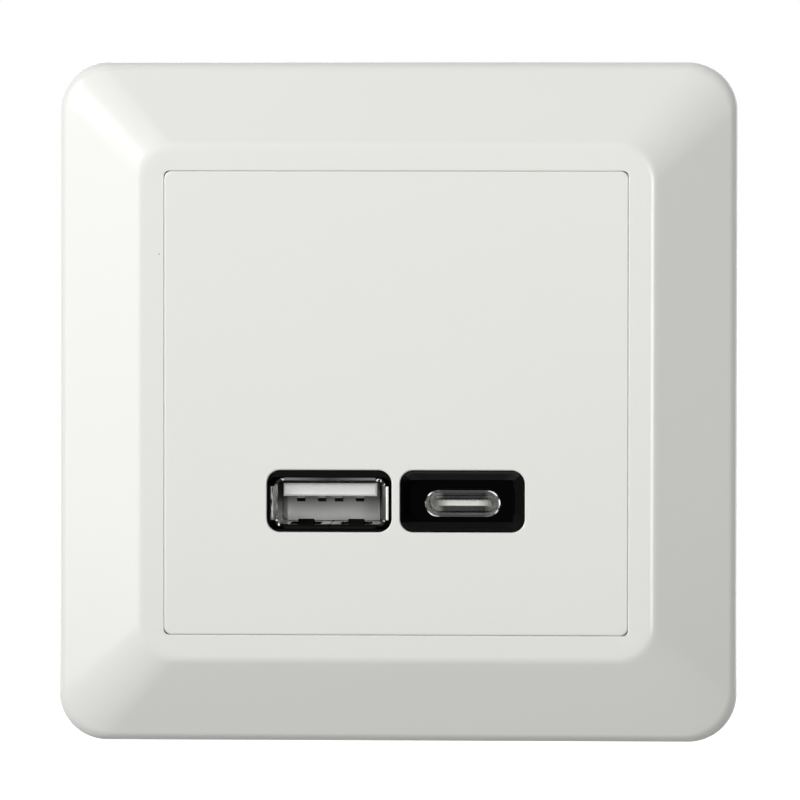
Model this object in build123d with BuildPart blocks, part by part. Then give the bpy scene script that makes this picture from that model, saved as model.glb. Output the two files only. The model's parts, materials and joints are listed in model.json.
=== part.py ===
from build123d import *
import os
from math import atan2, cos, sqrt, tan

os.makedirs("parts", exist_ok=True)

# A flush wall socket with one USB-A and one USB-C charging port.
# Millimetres. +Z is up the wall, the room is towards -Y, and the origin is on the wall
# plane, in the middle of the box-screw pattern. A height is a distance in front of the
# wall plane, so what stands in the flush box has a negative height.

# Cover frame
frame_side = 81.0
frame_corner = 5.8
frame_height = 9.2           # wall to the flat rim
frame_side_height = 4.4      # upright side below the slope
frame_edge_round = 1.8       # between the side and the slope
frame_wall = 1.8
rim_width = 3.0              # flat rim round the plate
rim_corner = 4.4
rim_edge_round = 2.2         # between the slope and the rim
window_corner = 0.3
window_edge_round = 0.15
ledge_reach = 2.0            # ledge that the plate lies on
ledge_thickness = 1.6
frame_rib = 1.2              # ribs on the back that stand on the support ring
frame_rib_place = 20.0       # from the middle of a side

# Centre plate
plate_side = 55.0
plate_thickness = 2.2
plate_corner = 0.9
plate_gap = 0.04             # groove between plate and frame
plate_edge_round = 0.2
arm_place = 14.0             # snap arms from the middle of the plate
arm_width = 5.0
arm_thickness = 1.5
arm_clearance = 0.15         # arm to the front housing
arm_room = 1.05              # arm to the frame's ledge, room to spring outwards
arm_foot = 1.0               # arm's end above the support ring
barb_length = 1.5
barb_reach = 0.8
barb_slope = 0.2
barb_clearance = 0.2

# Port holes in the plate
port_width = 14.8
port_height = 7.35
port_corner = 1.6
port_spacing = 15.8
port_level = -11.6
port_sag = 0.3               # receptacles sit this much below the holes' middle

# Support ring
ring_thickness = 1.0
ring_margin = 3.2            # ring's edge to the inside of the frame
ring_corner = 6.0
box_screw_spacing = 60.0
box_screw_slot = 7.2
box_screw_width = 4.4

# Front housing
housing_corner = 3.0
housing_gap = 0.8            # housing's front to the back of the plate
housing_wall = 1.6
spigot_clearance = 0.2
spigot_wall = 1.2
boss_clearance = 0.1         # boss to the port hole
boss_recess = 0.3            # boss front behind the plate's front
bezel_rim = 0.25
bezel_slope = 0.85
bezel_depth = 1.1
receptacle_clearance = 0.15

# Rear housing
tub_cut = 6.36               # corners cut off the octagon
tub_wall = 1.6
tub_edge_round = 1.2
tub_back_round = 0.8
tub_rib_width = 1.6
tub_rib_depth = 1.2
collar_depth = 3.0
collar_corner = 4.0
collar_margin = 3.15         # screw centre to the collar's edge
post_radius = 1.5
post_place = 10.0
post_height = 1.8

# Screws that hold tub, ring and front housing together
screw_radius = 1.0
screw_head_radius = 2.1
screw_head_height = 1.5
screw_head_round = 0.5
screw_hole_clearance = 0.4
screw_pilot_clearance = 0.05
screw_pilot_depth = 4.0
screw_tip_gap = 0.4
screw_offset = 4.28          # screw centre outside the octagon's cut
screw_slot = 0.7             # cross recess
screw_slot_length = 2.6
screw_slot_depth = 0.8

# USB-A receptacle
shell_steel = 0.3
receptacle_length = 13.6     # board to mouth
mouth_recess = 1.1           # mouth behind the plate's front
usb_a_width = 12.5
usb_a_height = 5.12
usb_a_corner = 0.5
lip_length = 1.3
lip_flare_side = 0.45
lip_flare_end = 0.18
lip_side_width = 4.0
lip_end_width = 10.9
lip_clearance = 0.08
finger_place = 3.0           # spring fingers from the middle
finger_root = 2.4            # behind the mouth
finger_length = 4.2
finger_width = 1.9
finger_bend = 0.5
finger_window_root = 3.6
finger_window_tip = 2.4
finger_window_margin = 0.3
seam_gap = 0.1               # butt joint of the folded sheet, in the floor
side_hole_radius = 0.6
side_hole_depth = 4.0
leg_width = 2.4
leg_stickout = 1.0           # solder legs behind the board
solder_clearance = 0.15
insulator_clearance = 0.05
tongue_width = 11.1
tongue_thickness = 1.5
tongue_gap = 0.28            # tongue to the shell's roof
tongue_recess = 1.6          # tongue's tip behind the mouth
tongue_length = 8.4
tongue_chamfer = 0.2
shoulder_recess = 2.5        # full-width base behind the tongue's root
contact_places = (-3.5, -1.0, 1.0, 3.5)
contact_width = 1.0
contact_thickness = 0.25
contact_nose = 0.45
contact_nose_length = 1.3
contact_recess = 0.5         # contact's end behind the tongue's tip

# USB-C receptacle
usb_c_width = 8.34
usb_c_height = 2.56
usb_c_mouth_drop = 0.2       # mouth behind the USB-A mouth
usb_c_cavity = 6.6
usb_c_tongue_width = 6.69
usb_c_tongue_thickness = 0.7
usb_c_tongue_recess = 1.5
usb_c_step_thickness = 1.3
usb_c_step_length = 1.1
usb_c_pin_count = 12
usb_c_pin_pitch = 0.5
usb_c_pin_width = 0.25
usb_c_pin_thickness = 0.1
usb_c_pin_recess = 0.5
usb_c_leg_width = 1.2

# Boards
usb_board_thickness = 1.2
power_board_thickness = 1.6
board_clearance = 0.3        # board to the tub
board_margin = 1.8           # middle row of parts to the tub's ribs
top_clearance = 2.3          # tallest part to the board above it
row_gap = 1.0                # between parts
pin_lane = 3.0               # lane for the terminals' solder pins
rows_drop = 1.0
part_lift = 0.4              # bodies above the board, on their leads
lead_radius = 0.35
link_pin = 0.64
link_pin_pitch = 2.54
link_pin_count = 4
link_pin_stickout = 1.0

# Parts on the power board
fuse_width = 7.0
fuse_depth = 4.0
fuse_height = 7.0
fuse_round = 0.8
varistor_radius = 3.75
varistor_thickness = 3.6
varistor_round = 1.0
film_width = 11.0
film_depth = 5.0
film_height = 10.0
film_round = 0.5
bulk_radius = 4.0
bulk_height = 13.0
output_radius = 2.5
output_height = 11.0
can_round = 0.5
can_groove = 0.3
can_groove_height = 1.2
can_groove_width = 0.5
choke_radius = 4.0
choke_height = 9.0
choke_flange = 1.2
choke_post_radius = 1.9
choke_winding_gap = 0.5
bridge_width = 5.0
bridge_depth = 4.0
bridge_height = 2.5
chip_lead_width = 0.7
chip_lead_thickness = 0.3
chip_lead_reach = 1.2
chip_chamfer = 0.3
opto_width = 4.6
opto_depth = 6.4
opto_height = 3.4
safety_radius = 3.0
safety_thickness = 3.0
controller_width = 5.0
controller_depth = 4.0
controller_height = 1.4
controller_lead_pitch = 1.27
controller_place = (-4.0, -8.0)

# Transformer: two E-shaped core halves round the bobbin's tube
core_width = 15.0
core_depth = 5.5
core_half_height = 6.2
core_bar = 2.4
core_side_leg = 2.4
core_middle_leg = 4.2
core_lift = 0.6
core_joint = 0.1             # glue between the two halves
bobbin_clearance = 0.15
bobbin_tube_wall = 0.6
bobbin_flange = 0.7
bobbin_depth = 10.4
bobbin_rail_depth = 1.6
winding_inset = 0.3

# Parts on the USB board
inductor_side = 6.0
inductor_height = 3.2
inductor_corner = 1.2
inductor_level = 10.0
charger_side = 4.0
charger_height = 0.9
charger_chamfer = 0.15
charger_level = 3.0

# Push-in terminals on the back
block_width = 28.0
block_height = 11.6
block_depth = 8.6
block_corner = 0.8
block_wall = 1.0
block_rear_wall = 2.0
block_window_clearance = 0.3
pole_spacing = 13.6
pole_width = 11.6
entry_radius = 1.6
entry_spacing = 5.6
entry_funnel = 0.4
entry_lift = 0.1
busbar_thickness = 0.8
busbar_clearance = 0.2
busbar_pin = 1.0
busbar_pin_spacing = 5.0
busbar_pin_stickout = 1.0
spring_strip = 0.35
spring_bend = 0.9
spring_width = 9.6
spring_gap = 0.3             # free end to the busbar
spring_end_gap = 1.0         # spring to the board
button_width = 8.0
button_height = 2.2
button_gap = 0.8             # wire entry to the button
button_clearance = 0.15
button_stickout = 0.6
button_lug = 0.8
button_nose_gap = 0.1        # nose to the spring at rest
button_groove = 1.0
button_groove_depth = 0.4

# Derived heights, from the plate back into the flush box
plate_back = frame_height - plate_thickness
ledge_back = plate_back - ledge_thickness
housing_front = plate_back - housing_gap
boss_front = frame_height - boss_recess
mouth = frame_height - mouth_recess
usb_c_mouth = mouth - usb_c_mouth_drop
lip_start = mouth - lip_length
usb_board_front = mouth - receptacle_length
usb_board_back = usb_board_front - usb_board_thickness
core_height = 2 * core_half_height
tallest = max(bulk_height, output_height, film_height + part_lift, core_lift + core_height)
power_board_front = usb_board_back - tallest - top_clearance
power_board_back = power_board_front - power_board_thickness
tub_floor = power_board_back - post_height
tub_back = tub_floor - tub_wall

# Derived plan sizes of the trim
window_side = plate_side + 2 * plate_gap
rim_side = window_side + 2 * rim_width
ledge_opening = window_side - 2 * ledge_reach
housing_side = ledge_opening - 2 * (arm_room + arm_thickness + arm_clearance)
ring_side = frame_side - 2 * (frame_wall + ring_margin)
slope = atan2(frame_height - frame_side_height, (frame_side - rim_side) / 2)
wall_drop = frame_wall / cos(slope)
arm_inside = housing_side / 2 + arm_clearance
arm_end = ring_thickness + arm_foot
barb_front = arm_end + barb_length

# Derived places of the ports, as (x, z)
usb_a_port = (-port_spacing / 2, port_level)
usb_c_port = (port_spacing / 2, port_level)
usb_a_x = -port_spacing / 2
usb_c_x = port_spacing / 2
usb_z = port_level - port_sag
usb_a_middle = (usb_a_x, usb_z)
usb_c_middle = (usb_c_x, usb_z)
usb_a_half_width = usb_a_width / 2
usb_a_half_height = usb_a_height / 2
boss_width = port_width - 2 * boss_clearance
boss_height = port_height - 2 * boss_clearance
boss_corner = port_corner - boss_clearance
tongue_z = usb_z + usb_a_half_height - tongue_gap - tongue_thickness / 2
tongue_underside = tongue_z - tongue_thickness / 2
tongue_tip = mouth - tongue_recess
tongue_root = tongue_tip - tongue_length
usb_c_root = usb_c_mouth - usb_c_cavity
usb_c_tip = usb_c_mouth - usb_c_tongue_recess

# Derived layout of the power board: three rows of parts, each centred
front_row = (fuse_width, 2 * varistor_radius, film_width)
middle_row = (bridge_width, 2 * bulk_radius, 2 * bulk_radius, 2 * choke_radius)
back_row = (core_width, opto_width, 2 * output_radius, link_pin)
output_pitch = 2 * output_radius + row_gap


def row_places(widths):
    # centres of parts of these widths, side by side with gaps, the row centred on x = 0
    edge = -(sum(widths) + row_gap * (len(widths) - 1)) / 2
    places = []
    for width in widths:
        places.append(edge + width / 2)
        edge += width + row_gap
    return places


fuse_x, varistor_x, film_x = row_places(front_row)
bridge_x, bulk_x, second_bulk_x, choke_x = row_places(middle_row)
transformer_x, opto_x, output_x, link_x = row_places(back_row)
front_row_depth = max(film_depth, fuse_depth, varistor_thickness)
middle_row_depth = 2 * max(bulk_radius, choke_radius)
back_row_depth = max(bobbin_depth, output_pitch + 2 * output_radius)
rows_depth = back_row_depth + row_gap + middle_row_depth + pin_lane + front_row_depth
back_z = -rows_depth / 2 + back_row_depth / 2 - rows_drop
middle_z = back_z + back_row_depth / 2 + row_gap + middle_row_depth / 2
lane_z = middle_z + middle_row_depth / 2 + pin_lane / 2
front_z = lane_z + pin_lane / 2 + front_row_depth / 2
middle_row_width = sum(middle_row) + row_gap * (len(middle_row) - 1)

# Derived octagon of the tub's inside, and the screws outside its cut corners
tub_half = middle_row_width / 2 + board_margin + tub_rib_depth
screw_place = tub_half - tub_cut / 2 + screw_offset / sqrt(2)
screw_spacing = 2 * screw_place
collar_side = screw_spacing + 2 * collar_margin

# Derived places in the terminal block
block_rear = power_board_back - block_depth
cavity_rear = block_rear + block_rear_wall
block_bottom = lane_z - block_wall - busbar_thickness / 2
block_level = block_bottom + block_height / 2
cavity_bottom = block_bottom + block_wall
cavity_top = block_bottom + block_height - block_wall
busbar_top = cavity_bottom + busbar_thickness
entry_level = busbar_top + entry_lift + entry_radius
button_level = entry_level + entry_radius + button_gap + button_height / 2
button_top = button_level + button_height / 2
spring_roof = cavity_top - spring_strip / 2
spring_deep = power_board_back - spring_end_gap
spring_rear = cavity_rear + spring_strip
spring_tip = busbar_top + spring_gap + spring_strip
spring_share = (spring_roof - button_top) / (spring_roof - spring_tip)
nose_end = spring_rear + spring_share * (spring_deep - spring_rear) - spring_strip - button_nose_gap
line_x = -pole_spacing / 2
neutral_x = pole_spacing / 2


def front(height):
    # plane parallel to the wall: local x is +X, local y is up
    return Plane.XZ.offset(height)


def side(x):
    # upright plane square to the wall: local x is the height, local y is up
    return Plane(origin=(x, 0, 0), x_dir=(0, -1, 0), z_dir=(-1, 0, 0))


def level(z):
    # flat plane: local x is +X, local y is the height in front of the wall
    return Plane(origin=(0, 0, z), x_dir=(1, 0, 0), z_dir=(0, 0, -1))


def octagon(growth):
    # the tub's inside, grown or shrunk by an even margin
    half = tub_half + growth
    flat = half - tub_cut - (2 - sqrt(2)) * growth
    right = [(half, -flat), (half, flat), (flat, half)]
    left = [(-flat, half), (-half, flat), (-half, -flat)]
    Polygon(*right, *left, (-flat, -half), (flat, -half))


# The space behind the frame's face, apart from the window's wall and the ribs
hollow_side = frame_side - 2 * frame_wall
hollow_corner = frame_corner - frame_wall
hollow_shoulder = frame_side_height + frame_wall * tan(slope) - wall_drop
hollow_roof = frame_height - frame_wall
hollow_run = (hollow_roof - frame_side_height + wall_drop) / tan(slope)
hollow_roof_side = frame_side - 2 * hollow_run
window_wall_side = window_side + 2 * frame_wall
with BuildPart() as hollow:
    with BuildSketch(front(-frame_wall)):
        RectangleRounded(hollow_side, hollow_side, hollow_corner)
    extrude(amount=frame_wall + hollow_shoulder)
    with BuildSketch(front(hollow_shoulder)):
        RectangleRounded(hollow_side, hollow_side, hollow_corner)
    with BuildSketch(front(hollow_roof)):
        RectangleRounded(hollow_roof_side, hollow_roof_side, rim_corner)
    loft()
    with BuildSketch(front(ledge_back)):
        Rectangle(window_wall_side, window_wall_side)
    extrude(amount=frame_height, mode=Mode.SUBTRACT)
    with BuildSketch(front(ring_thickness)):
        with GridLocations(2 * frame_rib_place, 0, 2, 1):
            Rectangle(frame_rib, frame_side)
        with GridLocations(0, 2 * frame_rib_place, 1, 2):
            Rectangle(frame_side, frame_rib)
    extrude(amount=frame_height, mode=Mode.SUBTRACT)

with BuildPart() as cover_frame:
    with BuildSketch(front(0)):
        RectangleRounded(frame_side, frame_side, frame_corner)
    extrude(amount=frame_side_height)
    with BuildSketch(front(frame_side_height)):
        RectangleRounded(frame_side, frame_side, frame_corner)
    with BuildSketch(front(frame_height)):
        RectangleRounded(rim_side, rim_side, rim_corner)
    loft()
    fillet(cover_frame.edges().group_by(Axis.Y)[2], frame_edge_round)
    fillet(cover_frame.edges().group_by(Axis.Y)[0], rim_edge_round)
    add(hollow.part, mode=Mode.SUBTRACT)
    with BuildSketch(front(plate_back)):
        RectangleRounded(window_side, window_side, window_corner)
    extrude(amount=frame_height, mode=Mode.SUBTRACT)
    window_edges = cover_frame.faces().sort_by(Axis.Y)[0].inner_wires().edges()
    fillet(window_edges, window_edge_round)
    with BuildSketch(front(0)):
        Rectangle(ledge_opening, ledge_opening)
    extrude(amount=frame_height, mode=Mode.SUBTRACT)

# Snap arms of the plate, with barbs that catch in pockets of the front housing
with BuildPart() as snap_arms:
    for x in (-arm_place, arm_place):
        with BuildSketch(side(x)):
            Polygon(
                (plate_back, arm_inside),
                (barb_front, arm_inside),
                (barb_front - barb_slope, arm_inside - barb_reach),
                (arm_end, arm_inside),
                (arm_end, arm_inside + arm_thickness),
                (plate_back, arm_inside + arm_thickness),
            )
        extrude(amount=arm_width / 2, both=True)
    mirror(about=Plane.XY)

with BuildPart() as centre_plate:
    with BuildSketch(front(plate_back)):
        RectangleRounded(plate_side, plate_side, plate_corner)
        with Locations(usb_a_port, usb_c_port):
            RectangleRounded(port_width, port_height, port_corner, mode=Mode.SUBTRACT)
    extrude(amount=plate_thickness)
    fillet(centre_plate.faces().sort_by(Axis.Y)[0].edges(), plate_edge_round)
    add(snap_arms.part)

with BuildPart() as support_ring:
    with BuildSketch(front(0)):
        RectangleRounded(ring_side, ring_side, ring_corner)
        with GridLocations(box_screw_spacing, 0, 2, 1):
            SlotOverall(box_screw_slot, box_screw_width, mode=Mode.SUBTRACT)
        with GridLocations(0, box_screw_spacing, 1, 2):
            SlotOverall(box_screw_slot, box_screw_width, rotation=90, mode=Mode.SUBTRACT)
        with GridLocations(screw_spacing, screw_spacing, 2, 2):
            Circle(screw_radius + screw_hole_clearance, mode=Mode.SUBTRACT)
    extrude(amount=ring_thickness)
    with BuildSketch(front(0)):
        octagon(0)
    extrude(amount=ring_thickness, mode=Mode.SUBTRACT)

# Front housing: a block on the ring, a spigot back to the USB board and two port bosses
usb_a_shell_width = usb_a_width + 2 * shell_steel
usb_a_shell_height = usb_a_height + 2 * shell_steel
usb_c_shell_width = usb_c_width + 2 * shell_steel
usb_c_shell_height = usb_c_height + 2 * shell_steel
lip_pocket_width = usb_a_shell_width + 2 * (lip_flare_side + lip_clearance)
lip_pocket_height = usb_a_shell_height + 2 * (lip_flare_end + lip_clearance)
bezel_outer = 2 * bezel_rim
bezel_inner = 2 * (bezel_rim + bezel_slope)
with BuildPart() as front_housing:
    with BuildSketch(front(ring_thickness)):
        RectangleRounded(housing_side, housing_side, housing_corner)
    extrude(amount=housing_front - ring_thickness)
    with BuildSketch(front(usb_board_front)):
        octagon(-spigot_clearance)
    extrude(amount=ring_thickness - usb_board_front)
    with BuildSketch(front(usb_board_front)):
        octagon(-spigot_clearance - spigot_wall)
    extrude(amount=housing_front - housing_wall - usb_board_front, mode=Mode.SUBTRACT)
    with BuildSketch(front(housing_front - housing_wall)):
        with Locations(usb_a_port, usb_c_port):
            RectangleRounded(boss_width, boss_height, boss_corner)
    extrude(amount=boss_front - housing_front + housing_wall)
    with BuildSketch(front(usb_board_front)):
        with Locations(usb_a_middle):
            shell_room = 2 * receptacle_clearance
            Rectangle(usb_a_shell_width + shell_room, usb_a_shell_height + shell_room)
        with Locations(usb_c_middle):
            SlotOverall(usb_c_shell_width + shell_room, usb_c_shell_height + shell_room)
    extrude(amount=boss_front - usb_board_front, mode=Mode.SUBTRACT)
    with BuildSketch(front(lip_start - receptacle_clearance)):
        with Locations(usb_a_middle):
            RectangleRounded(lip_pocket_width, lip_pocket_height, usb_a_corner)
    extrude(amount=boss_front - lip_start + receptacle_clearance, mode=Mode.SUBTRACT)
    with BuildSketch(front(boss_front)):
        with Locations(usb_c_port):
            RectangleRounded(boss_width - bezel_outer, boss_height - bezel_outer, boss_corner)
    with BuildSketch(front(boss_front - bezel_depth)):
        with Locations(usb_c_port):
            RectangleRounded(boss_width - bezel_inner, boss_height - bezel_inner, boss_corner)
    loft(mode=Mode.SUBTRACT)
    with BuildSketch(front(ring_thickness)):
        with GridLocations(screw_spacing, screw_spacing, 2, 2):
            Circle(screw_radius + screw_pilot_clearance)
    extrude(amount=screw_pilot_depth, mode=Mode.SUBTRACT)
    with BuildSketch(front(arm_end - barb_clearance)):
        with GridLocations(2 * arm_place, housing_side, 2, 2):
            Rectangle(arm_width + 2 * barb_clearance, 2 * (barb_reach + barb_clearance))
    extrude(amount=barb_length + 2 * barb_clearance, mode=Mode.SUBTRACT)

# Rear housing: an octagonal tub with a square collar behind the ring
window_gap = 2 * block_window_clearance
rib_root = tub_rib_depth + tub_wall / 2
with BuildPart() as rear_housing:
    with BuildSketch(front(tub_back)):
        octagon(tub_wall)
    extrude(amount=-tub_back)
    fillet(rear_housing.edges().filter_by(Axis.Y), tub_edge_round)
    fillet(rear_housing.faces().sort_by(Axis.Y)[-1].edges(), tub_back_round)
    with BuildSketch(front(-collar_depth)):
        RectangleRounded(collar_side, collar_side, collar_corner)
    extrude(amount=collar_depth)
    with BuildSketch(front(tub_floor)):
        octagon(0)
    extrude(amount=-tub_floor, mode=Mode.SUBTRACT)
    with BuildSketch(front(tub_floor)):
        with PolarLocations(tub_half - tub_rib_depth + rib_root / 2, 4):
            Rectangle(rib_root, tub_rib_width)
    extrude(amount=usb_board_back - tub_floor)
    with BuildSketch(front(tub_floor)):
        with GridLocations(2 * post_place, 2 * post_place, 2, 2):
            Circle(post_radius)
    extrude(amount=post_height)
    with BuildSketch(front(tub_back)):
        with Locations((0, block_level)):
            Rectangle(block_width + window_gap, block_height + window_gap)
    extrude(amount=tub_wall + post_height, mode=Mode.SUBTRACT)
    with BuildSketch(front(-collar_depth)):
        with GridLocations(screw_spacing, screw_spacing, 2, 2):
            Circle(screw_radius + screw_hole_clearance)
    extrude(amount=collar_depth, mode=Mode.SUBTRACT)

screw_top = -collar_depth - screw_head_height
screw_tip = ring_thickness + screw_pilot_depth - screw_tip_gap
with BuildPart() as housing_screws:
    with BuildSketch(front(screw_top)):
        with GridLocations(screw_spacing, screw_spacing, 2, 2):
            Circle(screw_head_radius)
    extrude(amount=screw_head_height)
    fillet(housing_screws.edges().group_by(Axis.Y)[-1], screw_head_round)
    with BuildSketch(front(-collar_depth)):
        with GridLocations(screw_spacing, screw_spacing, 2, 2):
            Circle(screw_radius)
    extrude(amount=screw_tip + collar_depth)
    with BuildSketch(front(screw_top)):
        with GridLocations(screw_spacing, screw_spacing, 2, 2):
            Rectangle(screw_slot_length, screw_slot)
            Rectangle(screw_slot, screw_slot_length)
    extrude(amount=screw_slot_depth, mode=Mode.SUBTRACT)


def legs(x, shell_width):
    # places of a shell's two solder legs
    reach = shell_width / 2 - shell_steel / 2
    return [(x - reach, usb_z), (x + reach, usb_z)]


usb_a_legs = legs(usb_a_x, usb_a_shell_width)
usb_c_legs = legs(usb_c_x, usb_c_shell_width)
leg_end = usb_board_back - leg_stickout

# USB-A shell: a folded tube with four flared lips, spring fingers and solder legs
finger_start = mouth - finger_root
finger_end = finger_start - finger_length
finger_crest = finger_start - finger_length / 2
shell_floor = usb_z - usb_a_half_height
with BuildPart() as usb_a_shell:
    with BuildSketch(front(usb_board_front)):
        with Locations(usb_a_middle):
            RectangleRounded(usb_a_shell_width, usb_a_shell_height, usb_a_corner + shell_steel)
            RectangleRounded(usb_a_width, usb_a_height, usb_a_corner, mode=Mode.SUBTRACT)
    extrude(amount=lip_start - usb_board_front)
    for turn in (-1, 1):
        wall_x = usb_a_x + turn * usb_a_half_width
        with BuildSketch(level(usb_z)):
            Polygon(
                (wall_x, lip_start),
                (wall_x + turn * shell_steel, lip_start),
                (wall_x + turn * (shell_steel + lip_flare_side), mouth),
                (wall_x + turn * lip_flare_side, mouth),
            )
        extrude(amount=lip_side_width / 2, both=True)
        wall_z = usb_z + turn * usb_a_half_height
        with BuildSketch(side(usb_a_x)):
            Polygon(
                (lip_start, wall_z),
                (lip_start, wall_z + turn * shell_steel),
                (mouth, wall_z + turn * (shell_steel + lip_flare_end)),
                (mouth, wall_z + turn * lip_flare_end),
            )
        extrude(amount=lip_end_width / 2, both=True)
    for place in (-finger_place, finger_place):
        finger_x = usb_a_x + place
        with BuildSketch(level(shell_floor)):
            Polygon(
                (finger_x - finger_window_root / 2, finger_start),
                (finger_x + finger_window_root / 2, finger_start),
                (finger_x + finger_window_tip / 2, finger_end - finger_window_margin),
                (finger_x - finger_window_tip / 2, finger_end - finger_window_margin),
            )
        extrude(amount=2 * shell_steel, both=True, mode=Mode.SUBTRACT)
        with BuildSketch(side(finger_x)):
            Polygon(
                (finger_start, shell_floor),
                (finger_crest, shell_floor + finger_bend),
                (finger_end, shell_floor),
                (finger_end, shell_floor - shell_steel),
                (finger_crest, shell_floor + finger_bend - shell_steel),
                (finger_start, shell_floor - shell_steel),
            )
        extrude(amount=finger_width / 2, both=True)
    with BuildSketch(side(usb_a_x)):
        with Locations((mouth - side_hole_depth, usb_z)):
            Circle(side_hole_radius)
    extrude(amount=usb_a_shell_width, both=True, mode=Mode.SUBTRACT)
    with BuildSketch(front(usb_board_front)):
        with Locations((usb_a_x, shell_floor)):
            Rectangle(seam_gap, usb_a_half_height)
    extrude(amount=receptacle_length, mode=Mode.SUBTRACT)
    with BuildSketch(front(leg_end)):
        with Locations(*usb_a_legs):
            Rectangle(shell_steel, leg_width)
    extrude(amount=usb_board_front - leg_end)

contact_level = tongue_underside - contact_thickness / 2
contact_middles = [(usb_a_x + place, contact_level) for place in contact_places]
contact_slot_width = contact_width + 2 * insulator_clearance
contact_slot_height = contact_thickness + 2 * insulator_clearance
base_width = usb_a_width - 2 * insulator_clearance
base_height = usb_a_height - 2 * insulator_clearance
shoulder = tongue_root - shoulder_recess
with BuildPart() as usb_a_insulator:
    with BuildSketch(front(tongue_root)):
        with Locations((usb_a_x, tongue_z)):
            Rectangle(tongue_width, tongue_thickness)
    extrude(amount=tongue_length)
    chamfer(usb_a_insulator.faces().sort_by(Axis.Y)[0].edges(), tongue_chamfer)
    with BuildSketch(front(shoulder)):
        with Locations(usb_a_middle):
            Rectangle(tongue_width, base_height)
    extrude(amount=tongue_root - shoulder)
    with BuildSketch(front(usb_board_front)):
        with Locations(usb_a_middle):
            RectangleRounded(base_width, base_height, usb_a_corner)
    extrude(amount=shoulder - usb_board_front)
    with BuildSketch(front(usb_board_front)):
        with Locations(*contact_middles):
            Rectangle(contact_slot_width, contact_slot_height)
    extrude(amount=tongue_root - usb_board_front, mode=Mode.SUBTRACT)

contact_end = tongue_tip - contact_recess
contact_low = tongue_underside - contact_thickness
with BuildPart() as usb_a_contacts:
    for x, z in contact_middles:
        with BuildSketch(side(x)):
            Polygon(
                (leg_end, tongue_underside),
                (contact_end, tongue_underside),
                (contact_end, contact_low),
                (contact_end - contact_nose_length / 2, contact_low - contact_nose),
                (contact_end - contact_nose_length, contact_low),
                (leg_end, contact_low),
            )
        extrude(amount=contact_width / 2, both=True)

with BuildPart() as usb_c_shell:
    with BuildSketch(front(usb_board_front)):
        with Locations(usb_c_middle):
            SlotOverall(usb_c_shell_width, usb_c_shell_height)
            SlotOverall(usb_c_width, usb_c_height, mode=Mode.SUBTRACT)
    extrude(amount=usb_c_mouth - usb_board_front)
    with BuildSketch(front(leg_end)):
        with Locations(*usb_c_legs):
            Rectangle(shell_steel, usb_c_leg_width)
    extrude(amount=usb_board_front - leg_end)

with BuildPart() as usb_c_insulator:
    with BuildSketch(front(usb_board_front)):
        with Locations(usb_c_middle):
            usb_c_fit = 2 * insulator_clearance
            SlotOverall(usb_c_width - usb_c_fit, usb_c_height - usb_c_fit)
    extrude(amount=usb_c_root - usb_board_front)
    with BuildSketch(front(usb_c_root)):
        with Locations(usb_c_middle):
            Rectangle(usb_c_tongue_width, usb_c_step_thickness)
    extrude(amount=usb_c_step_length)
    with BuildSketch(front(usb_c_root)):
        with Locations(usb_c_middle):
            Rectangle(usb_c_tongue_width, usb_c_tongue_thickness)
    extrude(amount=usb_c_tip - usb_c_root)

usb_c_pin_start = usb_c_root + usb_c_step_length
usb_c_pin_end = usb_c_tip - usb_c_pin_recess
with BuildPart() as usb_c_contacts:
    with BuildSketch(front(usb_c_pin_start)):
        with Locations(usb_c_middle):
            pin_rows = usb_c_tongue_thickness + usb_c_pin_thickness
            with GridLocations(usb_c_pin_pitch, pin_rows, usb_c_pin_count, 2):
                Rectangle(usb_c_pin_width, usb_c_pin_thickness)
    extrude(amount=usb_c_pin_end - usb_c_pin_start)

# Boards, with holes for everything that is soldered through them
link_hole = link_pin + 2 * solder_clearance
leg_slot = shell_steel + 2 * solder_clearance
with BuildPart() as usb_board:
    with BuildSketch(front(usb_board_back)):
        octagon(-board_clearance)
        with Locations(*usb_a_legs):
            Rectangle(leg_slot, leg_width + 2 * solder_clearance, mode=Mode.SUBTRACT)
        with Locations(*usb_c_legs):
            Rectangle(leg_slot, usb_c_leg_width + 2 * solder_clearance, mode=Mode.SUBTRACT)
        with Locations(*contact_middles):
            contact_hole = contact_width + 2 * solder_clearance
            Rectangle(contact_hole, contact_thickness + 2 * solder_clearance, mode=Mode.SUBTRACT)
        with Locations((link_x, back_z)):
            with GridLocations(0, link_pin_pitch, 1, link_pin_count):
                Rectangle(link_hole, link_hole, mode=Mode.SUBTRACT)
    extrude(amount=usb_board_thickness)

busbar_z = cavity_bottom + busbar_thickness / 2
busbar_pins = [(x + turn * busbar_pin_spacing / 2, busbar_z) for x in (line_x, neutral_x)
               for turn in (-1, 1)]
with BuildPart() as power_board:
    with BuildSketch(front(power_board_back)):
        octagon(-board_clearance)
        with PolarLocations(tub_half - tub_rib_depth / 2, 4):
            notch_depth = tub_rib_depth + 2 * board_clearance
            Rectangle(notch_depth, tub_rib_width + 2 * board_clearance, mode=Mode.SUBTRACT)
        with Locations(*busbar_pins):
            pin_hole = busbar_pin + 2 * solder_clearance
            Rectangle(pin_hole, busbar_thickness + 2 * solder_clearance, mode=Mode.SUBTRACT)
        with Locations((link_x, back_z)):
            with GridLocations(0, link_pin_pitch, 1, link_pin_count):
                Rectangle(link_hole, link_hole, mode=Mode.SUBTRACT)
    extrude(amount=power_board_thickness)

link_end = power_board_back - link_pin_stickout
with BuildPart() as board_link_pins:
    with BuildSketch(front(link_end)):
        with Locations((link_x, back_z)):
            with GridLocations(0, link_pin_pitch, 1, link_pin_count):
                Rectangle(link_pin, link_pin)
    extrude(amount=usb_board_front + link_pin_stickout - link_end)


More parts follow.
